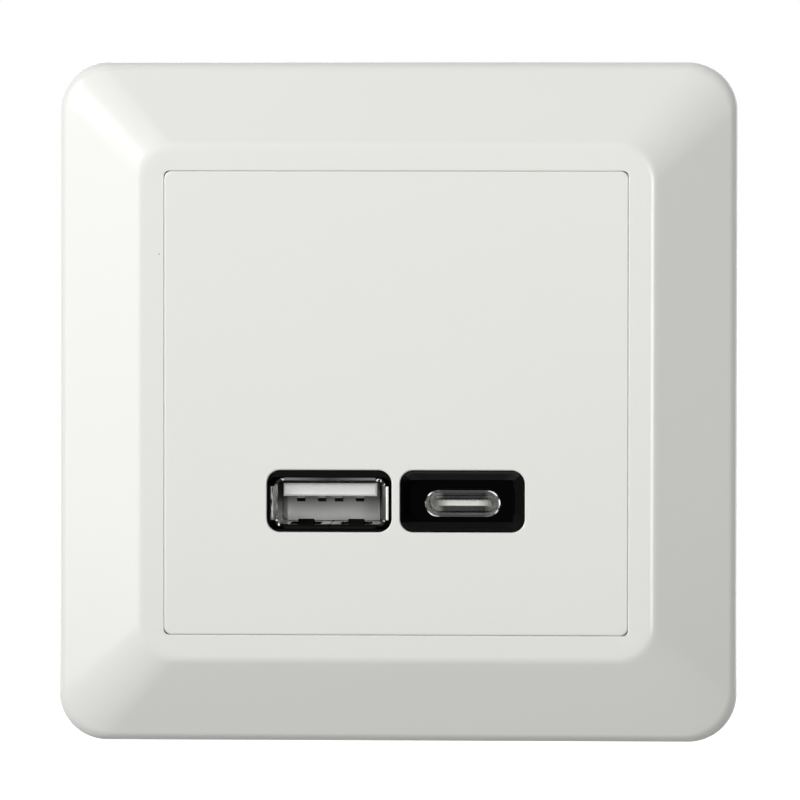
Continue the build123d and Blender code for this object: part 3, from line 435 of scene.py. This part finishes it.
def makeZinc(p):
    material, place = startMaterial(p["name"], Metallic=1.0)
    crystals = place.cells(p["crystal"], "Color").red()
    marks = place.noise(p["mark"], stretch=p["stretch"])
    tone = blendOf(crystals, marks).between(p["dark"], p["light"])
    sheen = p["roughness"] + p["crystalSheen"] * crystals + p["markSheen"] * marks
    return dress(material, tone, sheen, marks, p["depth"])


# solder-masked laminate: the weave shows faintly through the green
boardGreen = {"name": "boardGreen", "dark": (0.015, 0.14, 0.04), "light": (0.03, 0.24, 0.08),
              "thread": 0.35, "cloud": 4.0, "cloudShare": 0.6, "coat": 0.3, "depth": 0.002,
              "roughness": 0.28, "threadSheen": 0.12}


def makeBoard(b):
    material, place = startMaterial(b["name"], IOR=plasticIor, Coat_Weight=b["coat"])
    cloth = blendOf(place.bands(b["thread"], "X"), place.bands(b["thread"], "Z"))
    tone = blendOf(place.noise(b["cloud"]), cloth, b["cloudShare"]).between(b["dark"], b["light"])
    return dress(material, tone, b["roughness"] + b["threadSheen"] * cloth, cloth, b["depth"])


# matte mouldings: the grain of the mould over a cloud of tone; contrast is the spread of tone either way
moulding = {"grain": 0.25, "depth": 0.006, "contrast": 0.12, "cloud": 5.0, "cloudShare": 0.6,
            "sheenSpread": 0.12, "sheenCloud": 3.0}
mouldings = {
    "dark_housing": {**moulding, "name": "darkGreyTub", "colour": (0.033, 0.034, 0.037),
                     "roughness": 0.50, "grain": 0.35, "depth": 0.012},
    "ferrite": {**moulding, "name": "ferriteGrey", "colour": (0.055, 0.055, 0.058),
                "roughness": 0.56, "grain": 0.3, "depth": 0.02, "contrast": 0.25},
    "bobbin_plastic": {**moulding, "name": "bobbinBlack", "colour": grey(0.03), "roughness": 0.39},
    "can_sleeve": {**moulding, "name": "canSleeve", "colour": (0.03, 0.032, 0.08),
                   "roughness": 0.24, "grain": 1.2, "depth": 0.004},
    "film_yellow": {**moulding, "name": "filmYellow", "colour": (0.70, 0.50, 0.06),
                    "roughness": 0.28, "grain": 0.6, "depth": 0.004, "contrast": 0.06},
    "disc_blue": {**moulding, "name": "discBlue", "colour": (0.05, 0.12, 0.38),
                  "roughness": 0.22, "grain": 1.0, "depth": 0.02},
    "chip_black": {**moulding, "name": "chipBlack", "colour": (0.018, 0.018, 0.019),
                   "roughness": 0.44, "grain": 0.15},
    "terminal_grey": {**moulding, "name": "terminalGrey", "colour": (0.33, 0.34, 0.35),
                      "roughness": 0.42, "grain": 0.3, "depth": 0.008, "contrast": 0.05},
    "button_orange": {**moulding, "name": "buttonOrange", "colour": (0.76, 0.21, 0.02),
                      "roughness": 0.34, "depth": 0.004, "contrast": 0.05},
}


def makeMoulding(m):
    material, place = startMaterial(m["name"], IOR=plasticIor)
    dark = scaled(m["colour"], 1 - m["contrast"])
    light = scaled(m["colour"], 1 + m["contrast"])
    fine = place.noise(m["grain"], fineDetail)
    tone = blendOf(place.noise(m["cloud"]), fine, m["cloudShare"]).between(dark, light)
    return dress(material, tone, cloudySheen(place, m), fine, m["depth"])


# plated or rolled metals: fine streaks along one axis over a soft cloud
metal = {"streak": 0.08, "stretch": (1, 30, 1), "streakSheen": 0.12, "cloud": 2.5, "contrast": 0.1,
         "depth": 0.001}
metals = {
    "screw_steel": {**metal, "name": "screwSteel", "colour": (0.60, 0.60, 0.59), "roughness": 0.25,
                    "streak": 0.15, "stretch": (1, 1, 1)},
    # the contacts' dark colour is painted shade; their real plating is bright
    "contact_dark": {**metal, "name": "contactDark", "colour": (0.10, 0.095, 0.09), "roughness": 0.30},
    "pin_tin": {**metal, "name": "tinnedPins", "colour": (0.70, 0.70, 0.68), "roughness": 0.27},
    "busbar_brass": {**metal, "name": "busbarBrass", "colour": (0.74, 0.57, 0.26), "roughness": 0.25},
    "spring_steel": {**metal, "name": "springSteel", "colour": (0.52, 0.52, 0.53), "roughness": 0.23},
}


def makeMetal(m):
    material, place = startMaterial(m["name"], Metallic=1.0)
    streaks = place.noise(m["streak"], stretch=m["stretch"])
    dark = scaled(m["colour"], 1 - m["contrast"])
    tone = blendOf(streaks, place.noise(m["cloud"])).between(dark, m["colour"])
    return dress(material, tone, m["roughness"] + m["streakSheen"] * streaks, streaks, m["depth"])


# wound wire and tape: bands along the winding's axis, one for each turn
winding = {"distortion": 0.4, "depth": 0.04, "roughness": 0.32, "sheenSpread": 0.1, "sheenCloud": 1.0}
windings = {
    "winding_tape": {**winding, "name": "windingTape", "metallic": 0.0, "pitch": 1.2,
                     "light": (0.78, 0.62, 0.10), "dark": (0.66, 0.50, 0.06)},
    "copper_wire": {**winding, "name": "copperWire", "metallic": 1.0, "pitch": 0.6,
                    "light": (0.72, 0.34, 0.17), "dark": (0.42, 0.16, 0.07)},
}


def makeWinding(w):
    material, place = startMaterial(w["name"], Metallic=w["metallic"])
    turns = place.bands(w["pitch"], "Y", w["distortion"])
    return dress(material, turns.between(w["dark"], w["light"]), cloudySheen(place, w), turns, w["depth"])


# finishes by the record's material slots
finishes = {"white_trim": makeTrimWhite(trimWhite), "black_housing": makeBlackBezel(blackBezel),
            "port_steel": makePortSteel(portSteel), "port_white": makePortWhite(portWhite),
            "slim_tongue": makeSlimTongue(slimTongue), "zinc_steel": makeZinc(zincPlate),
            "board_green": makeBoard(boardGreen)}
for make, group in ((makeMoulding, mouldings), (makeMetal, metals), (makeWinding, windings)):
    finishes.update({slot: make(finish) for slot, finish in group.items()})
slotOf = {part["node"]: part["material_slot"] for part in frame["record"]["subparts"]}
bodyOf = {name: node["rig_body"] for name, node in nodes.items()}
for name, node in nodes.items():
    node.data.materials.clear()
    node.data.materials.append(finishes[slotOf[name]])
print("finishes made:", len(finishes))


# faces of a grid of points, with rows along a profile and columns round a closed path
# wrapRows closes the profile too
def gridFaces(rows, columns, wrapRows, start):
    row = np.arange(rows if wrapRows else rows - 1)[:, None]
    column = np.arange(columns)[None, :]
    nextRow = (row + 1) % rows
    nextColumn = (column + 1) % columns
    corners = [row * columns + column, row * columns + nextColumn,
               nextRow * columns + nextColumn, nextRow * columns + column]
    return start + np.stack(np.broadcast_arrays(*corners), -1).reshape(-1, 4)


# an outline of (reach, height, plan corner) rows in which each corner becomes an arc of its own radius
# arc: centre = corner + bisector * radius / sin(half angle), swept evenly between the tangent points
# the plan corner follows a parabola between the same two points
def roundedProfile(rows, roundings, steps, closed):
    points = np.array(rows, float)
    radius = np.array(roundings, float)[:, None]
    before = np.roll(points, 1, 0)
    after = np.roll(points, -1, 0)
    toBefore = before[:, :2] - points[:, :2]
    toAfter = after[:, :2] - points[:, :2]
    lengthBefore = np.linalg.norm(toBefore, axis=1, keepdims=True)
    lengthAfter = np.linalg.norm(toAfter, axis=1, keepdims=True)
    u = toBefore / lengthBefore
    v = toAfter / lengthAfter
    half = np.arccos(np.clip((u * v).sum(1, keepdims=True), -1, 1)) / 2
    bisector = (u + v) / np.linalg.norm(u + v, axis=1, keepdims=True)
    tangent = radius / np.tan(half)
    centre = points[:, :2] + bisector * radius / np.sin(half)
    share = np.linspace(0, 1, steps)[None, :, None]
    sweep = (np.pi - 2 * half)[:, None]
    first = (points[:, :2] + u * tangent - centre)[:, None]
    last = (points[:, :2] + v * tangent - centre)[:, None]
    arc = (np.sin((1 - share) * sweep) * first + np.sin(share * sweep) * last) / np.sin(sweep)
    place = centre[:, None] + arc
    cornerBefore = points[:, 2:] + (before[:, 2:] - points[:, 2:]) * tangent / lengthBefore
    cornerAfter = points[:, 2:] + (after[:, 2:] - points[:, 2:]) * tangent / lengthAfter
    plan = ((1 - share) ** 2 * cornerBefore[:, None] + 2 * share * (1 - share) * points[:, None, 2:]
            + share ** 2 * cornerAfter[:, None])
    rounded = np.concatenate([place, plan], 2)
    if closed:
        return rounded.reshape(-1, 3)
    inner = rounded[1:-1].reshape(-1, 3)
    return np.concatenate([points[:1], inner, points[-1:]])


# a profile carried round a rounded rectangle, whose corners are quarter turns of the angle:
# x = middle +- (reach + extra - corner) + corner * cos(angle), z the same with sin(angle), y = -height
def carryRound(profile, middle=(0, 0), extra=(0, 0), arcSteps=24):
    reach, height, corner = profile.T
    angle = np.linspace(0, np.pi / 2, arcSteps)[None, :] + np.arange(4)[:, None] * np.pi / 2
    signX = np.array([1, -1, -1, 1])[:, None]
    signZ = np.array([1, 1, -1, -1])[:, None]
    halfX = (reach + extra[0] - corner)[:, None, None]
    halfZ = (reach + extra[1] - corner)[:, None, None]
    radius = corner[:, None, None]
    x = middle[0] + signX * halfX + radius * np.cos(angle)
    z = middle[1] + signZ * halfZ + radius * np.sin(angle)
    y = np.broadcast_to(-height[:, None, None], x.shape)
    return np.stack([x, y, z], -1).reshape(len(profile), -1, 3)


# a flat outline of (height, reach) points pushed through a width on X, then quarter turns about Y
def prism(outline, left, right, quarter):
    height, reach = np.tile(np.array(outline, float), (2, 1)).T
    x = np.repeat([left, right], len(outline))
    turns = [(x, reach), (reach, -x), (-x, -reach), (-reach, x)]
    turnedX, turnedZ = turns[quarter]
    return np.stack([turnedX, -height, turnedZ], -1)


# one mesh from several surfaces
class Body:
    def __init__(self):
        self.points = np.zeros((0, 3))
        self.faces = []

    def grid(self, points, wrapRows):
        rows, columns = points.shape[:2]
        self.faces += gridFaces(rows, columns, wrapRows, len(self.points)).tolist()
        self.points = np.concatenate([self.points, points.reshape(-1, 3)])

    def block(self, outline, left, right, quarter):
        start = len(self.points)
        middle = start + len(outline)
        end = middle + len(outline)
        self.faces += gridFaces(2, len(outline), False, start).tolist()
        self.faces += [list(range(start, middle)), list(range(middle, end))]
        self.points = np.concatenate([self.points, prism(outline, left, right, quarter)])

    # flat face with holes, from loops of points at one height
    def flatFace(self, loops):
        start = len(self.points)
        corners = tessellate_polygon([loop.tolist() for loop in loops])
        self.faces += [[start + i for i in corner] for corner in corners]
        self.points = np.concatenate([self.points, *loops])

    def piece(self, name, node):
        mesh = bpy.data.meshes.new(name)
        mesh.from_pydata((self.points * mm).tolist(), [], self.faces)
        return finishPiece(mesh, name, node)


# distance in millimetres at which doubles merge, angles in degrees of a flat and of a sharp edge
pieceFinish = {"merge": 0.0005, "flat": 0.2, "sharp": 40, "bevelSegments": 3, "faceWeight": 100}


# merges doubles, turns faces outwards, softens sharp edges by a bevel of that width, shades smoothly with
# large faces kept flat, and puts the piece on its node's body
def finishPiece(mesh, name, node, edge=0.0):
    shape = bmesh.new()
    shape.from_mesh(mesh)
    bmesh.ops.remove_doubles(shape, verts=shape.verts, dist=pieceFinish["merge"] * mm)
    if edge:
        flat = radians(pieceFinish["flat"])
        bmesh.ops.dissolve_limit(shape, angle_limit=flat, verts=shape.verts, edges=shape.edges)
    bmesh.ops.recalc_face_normals(shape, faces=shape.faces)
    shape.to_mesh(mesh)
    shape.free()
    sharp = radians(pieceFinish["sharp"])
    mesh.polygons.foreach_set("use_smooth", np.ones(len(mesh.polygons), bool))
    mesh.set_sharp_from_angle(angle=sharp)
    piece = bpy.data.objects.new(name, mesh)
    bpy.context.scene.collection.objects.link(piece)
    if edge:
        bevel = piece.modifiers.new("softEdge", "BEVEL")
        bevel.width = edge * mm
        bevel.segments = pieceFinish["bevelSegments"]
        bevel.limit_method = "ANGLE"
        bevel.angle_limit = sharp
    weighted = piece.modifiers.new("flatFaces", "WEIGHTED_NORMAL")
    weighted.weight = pieceFinish["faceWeight"]
    weighted.keep_sharp = True
    mesh.materials.clear()
    mesh.materials.append(finishes[slotOf[node]])
    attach(piece, bodyOf[node])
    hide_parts(node)
    return piece


# cover frame: one closed section carried round the square, then the ribs that stand on the ring
frameLow, frameHigh = (np.array(corner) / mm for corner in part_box("cover_frame"))
plateHigh = np.array(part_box("centre_plate")[1]) / mm
coverFrame = {"half": frameHigh[0], "height": -frameLow[1], "corner": 5.8, "sideHeight": 4.4,
              "edgeRound": 1.8, "wall": 1.8, "rimWidth": 3.0, "rimCorner": 4.4, "rimRound": 2.2,
              "gap": 0.022, "windowRound": 0.15, "windowCorner": 0.65, "ledgeReach": 2.0,
              "ledgeThickness": 1.6, "plateThickness": 2.2, "crease": 0.12,
              "ribPlace": 20.0, "ribWidth": 1.2, "ribFoot": 1.0, "ribSink": 0.45, "steps": 9}


def makeCoverFrame(c):
    window = plateHigh[0] + c["gap"]
    windowWall = window + c["wall"]
    opening = window - c["ledgeReach"]
    ledge = c["height"] - c["plateThickness"]
    ledgeBack = ledge - c["ledgeThickness"]
    rim = window + c["rimWidth"]
    roof = c["height"] - c["wall"]
    slope = np.arctan2(c["height"] - c["sideHeight"], c["half"] - rim)
    wallDrop = c["wall"] / np.cos(slope)
    roofReach = c["half"] - (roof - c["sideHeight"] + wallDrop) / np.tan(slope)
    inside = c["half"] - c["wall"]
    insideCorner = c["corner"] - c["wall"]
    shoulder = c["sideHeight"] + c["wall"] * np.tan(slope) - wallDrop
    crease = c["crease"]
    rows = [(c["half"], 0, c["corner"]), (c["half"], c["sideHeight"], c["corner"]),
            (rim, c["height"], c["rimCorner"]), (window, c["height"], c["windowCorner"]),
            (window, ledge, c["windowCorner"]), (opening, ledge, crease),
            (opening, ledgeBack, crease), (windowWall, ledgeBack, crease),
            (windowWall, roof, crease), (roofReach, roof, c["rimCorner"]),
            (inside, shoulder, insideCorner), (inside, 0, insideCorner)]
    roundings = [crease, c["edgeRound"], c["rimRound"], c["windowRound"]]  # of the first four rows
    roundings += [crease] * (len(rows) - len(roundings))
    body = Body()
    body.grid(carryRound(roundedProfile(rows, roundings, c["steps"], True)), True)
    sink = c["ribSink"]
    rib = [(c["ribFoot"], opening), (c["ribFoot"], inside + sink), (shoulder, inside + sink),
           (roof + sink, roofReach), (roof + sink, windowWall), (ledgeBack + sink, opening)]
    for place in (-c["ribPlace"], c["ribPlace"]):
        for quarter in range(4):
            body.block(rib, place - c["ribWidth"] / 2, place + c["ribWidth"] / 2, quarter)
    return body.piece("coverFrame", "cover_frame")


framePiece = makeCoverFrame(coverFrame)
print("cover frame:", len(framePiece.data.polygons), "faces")

# centre plate: an edge carried round the square, an edge round each port hole, and the flat faces between
# it sits a little off the middle of the window, so that the joint is as uneven as in the photograph
centrePlate = {"half": plateHigh[0], "front": coverFrame["height"],
               "thickness": coverFrame["plateThickness"], "corner": 0.9, "edgeRound": 0.2,
               "backRound": 0.05, "band": 0.3, "shift": (-0.003, 0.004), "spread": (0.011, 0.003),
               "holeHalf": (7.4, 3.675), "holeCorner": 1.6, "holePlaces": ((-7.9, -11.6), (7.9, -11.6)),
               "armPlace": 14.0, "armWidth": 5.0, "armInside": 22.99, "armThickness": 1.5, "armEnd": 2.0,
               "barbLength": 1.5, "barbReach": 0.8, "barbSlope": 0.2, "steps": 7}


def makeCentrePlate(c):
    front = c["front"]
    back = front - c["thickness"]
    half = c["half"]
    corner = c["corner"]
    band = c["band"]
    rows = [(half - band, back, corner), (half, back, corner),
            (half, front, corner), (half - band, front, corner)]
    section = roundedProfile(rows, [0, c["backRound"], c["edgeRound"], 0], c["steps"], False)
    outer = carryRound(section, c["shift"], c["spread"])
    hole = c["holeCorner"]
    rows = [(band, front, hole + band), (0, front, hole), (0, back, hole), (band, back, hole + band)]
    edge = roundedProfile(rows, [0, c["edgeRound"], c["backRound"], 0], c["steps"], False)
    ports = [carryRound(edge, place, c["holeHalf"]) for place in c["holePlaces"]]
    body = Body()
    for surface in (outer, *ports):
        body.grid(surface, False)
    body.flatFace([outer[-1], *(port[0] for port in ports)])
    body.flatFace([outer[0], *(port[-1] for port in ports)])
    inside = c["armInside"]
    outside = inside + c["armThickness"]
    end = c["armEnd"]
    barbFront = end + c["barbLength"]
    arm = [(back, inside), (barbFront, inside), (barbFront - c["barbSlope"], inside - c["barbReach"]),
           (end, inside), (end, outside), (back, outside)]
    for place in (-c["armPlace"], c["armPlace"]):
        for quarter in (0, 2):
            body.block(arm, place - c["armWidth"] / 2, place + c["armWidth"] / 2, quarter)
    return body.piece("centrePlate", "centre_plate")


platePiece = makeCentrePlate(centrePlate)
print("centre plate:", len(platePiece.data.polygons), "faces")

# pieces that keep the node's own form: width in millimetres of the bevel on their sharp edges
softEdges = {"front_housing": 0.08, "rear_housing": 0.15, "support_ring": 0.08, "housing_screws": 0.08,
             "usb_a_shell": 0.08, "usb_a_insulator": 0.06, "usb_a_contacts": 0.03, "usb_c_shell": 0.09,
             "usb_c_insulator": 0.04, "terminal_block": 0.12, "line_button": 0.12, "neutral_button": 0.12}


def pieceName(node):
    first, *rest = node.split("_")
    return first + "".join(word.capitalize() for word in rest)


for node, edge in softEdges.items():
    finishPiece(nodes[node].data.copy(), pieceName(node), node, edge)
print("softened pieces:", len(softEdges))

# clamp springs, listed with the release button of each: each spring becomes a finished copy of its node with
# a mesh of its own
clampSprings = {"joints": {"line_spring": "line_release", "neutral_spring": "neutral_release"},
                "keep": 0.5}
for node, joint in clampSprings["joints"].items():
    spring = finishPiece(nodes[node].data.copy(), pieceName(node), node)
    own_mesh(spring)

# stage in metres: a pale round floor well below the socket, whose glow fades to the white all round
stage = {"drop": 0.06, "radius": 0.40, "sides": 96, "colour": (0.33, 0.33, 0.325), "roughness": 0.9,
         "specular": 0.1, "glow": grey(0.62), "fadeStart": 0.07, "fadeLength": 0.055,
         "white": grey(1.0), "surroundLevel": 0.12}


# 1 for the rays that show the surroundings: from the camera, off a gloss or through glass
def lookingRay(start):
    kinds = ("Is Camera Ray", "Is Glossy Ray", "Is Transmission Ray")
    camera, glossy, through = [start.node("ShaderNodeLightPath", {}, {}, kind) for kind in kinds]
    return camera.atLeast(glossy).atLeast(through)


def makeFloor(s):
    angle = np.linspace(0, 2 * np.pi, s["sides"], endpoint=False)
    x = s["radius"] * np.cos(angle)
    y = s["radius"] * np.sin(angle)
    rim = np.stack([x, y, np.full_like(angle, -s["drop"])], -1)
    mesh = bpy.data.meshes.new("floor")
    mesh.from_pydata(rim.tolist(), [], [list(range(s["sides"]))])
    floor = bpy.data.objects.new("floor", mesh)
    bpy.context.scene.collection.objects.link(floor)
    plain = {"Base_Color": (*s["colour"], 1), "Roughness": s["roughness"]}
    material, place = startMaterial("paleFloor", Specular_IOR_Level=s["specular"], **plain)
    reach = place.node("ShaderNodeVectorMath", {"operation": "LENGTH"}, {0: place}, "Value")
    tone = reach.ramp(s["fadeStart"], s["fadeLength"]).between(s["glow"], s["white"])
    dark = place.node("ShaderNodeEmission", {}, {"Strength": 0.0})
    lit = place.node("ShaderNodeEmission", {}, {"Color": tone, "Strength": 1.0})
    glow = lookingRay(place).choose(dark, lit)
    both = place.node("ShaderNodeAddShader", {}, {0: plainShader(material), 1: glow})
    showShader(both, "Material Output")
    mesh.materials.append(material)


def makeSurround(s):
    world = bpy.data.worlds.new("studio")
    bpy.context.scene.world = world
    world.use_nodes = True
    tree = world.node_tree
    plain = tree.nodes["Background"]
    plain.inputs["Color"].default_value = (*s["white"], 1)
    plain.inputs["Strength"].default_value = s["surroundLevel"]
    light = Value(tree, plain.outputs["Background"])
    white = light.node("ShaderNodeBackground", {}, {"Color": (*s["white"], 1), "Strength": 1.0})
    showShader(lookingRay(light).choose(light, white), "World Output")


makeFloor(stage)
makeSurround(stage)

# soft boxes: where each stands from the socket's middle and its size, in metres, and its power in watts
lamps = {
    "leftBox": {"place": (-1.15, -0.95, -0.08), "size": 1.1, "power": 6.5},
    "upperLeftBox": {"place": (-1.04, -0.88, 0.69), "size": 0.45, "power": 10.4},
    "wideFrontBox": {"place": (-0.25, -1.90, 0.35), "size": 3.0, "power": 16.7},
    "frontRightBox": {"place": (0.50, -1.60, 0.0), "size": 0.45, "power": 4.0},
    "rightBox": {"place": (1.28, -0.80, 0.16), "size": 0.9, "power": 0.6},
    "backLeftBox": {"place": (-1.00, 1.50, 0.30), "size": 2.2, "power": 18.0},
    "backRightBox": {"place": (1.00, 1.50, 0.30), "size": 2.2, "power": 18.0},
}


def makeLamp(name, lamp):
    light = bpy.data.lights.new(name, "AREA")
    light.shape = "DISK"
    light.size = lamp["size"]
    light.energy = lamp["power"]
    lampObject = bpy.data.objects.new(name, light)
    place = Vector(lamp["place"])
    turn = (-place).to_track_quat("-Z", "Y")
    lampObject.matrix_world = Matrix.LocRotScale(place, turn, None)
    lampObject.visible_camera = False
    bpy.context.scene.collection.objects.link(lampObject)


for name, lamp in lamps.items():
    makeLamp(name, lamp)
print("stage and lamps set:", len(lamps), "lamps")

# camera: nearly straight on, a little above and to the right
# places in metres, lens and sensor in millimetres, roll in degrees
view = {"place": (0.03143, -0.80, 0.02516), "target": (0.00014, 0, 0.00013), "roll": 0.063,
        "lens": 300.8, "sensor": 36, "clipStart": 0.01}


def makeCamera(v):
    data = bpy.data.cameras.new("camera")
    data.lens = v["lens"]
    data.sensor_width = v["sensor"]
    data.clip_start = v["clipStart"]
    camera = bpy.data.objects.new("camera", data)
    place = Vector(v["place"])
    turn = (Vector(v["target"]) - place).to_track_quat("-Z", "Y")
    roll = Matrix.Rotation(radians(v["roll"]), 3, "Z").to_quaternion()
    camera.matrix_world = Matrix.LocRotScale(place, turn @ roll, None)
    bpy.context.scene.collection.objects.link(camera)
    bpy.context.scene.camera = camera


makeCamera(view)
bpy.context.scene.view_settings.view_transform = "Standard"
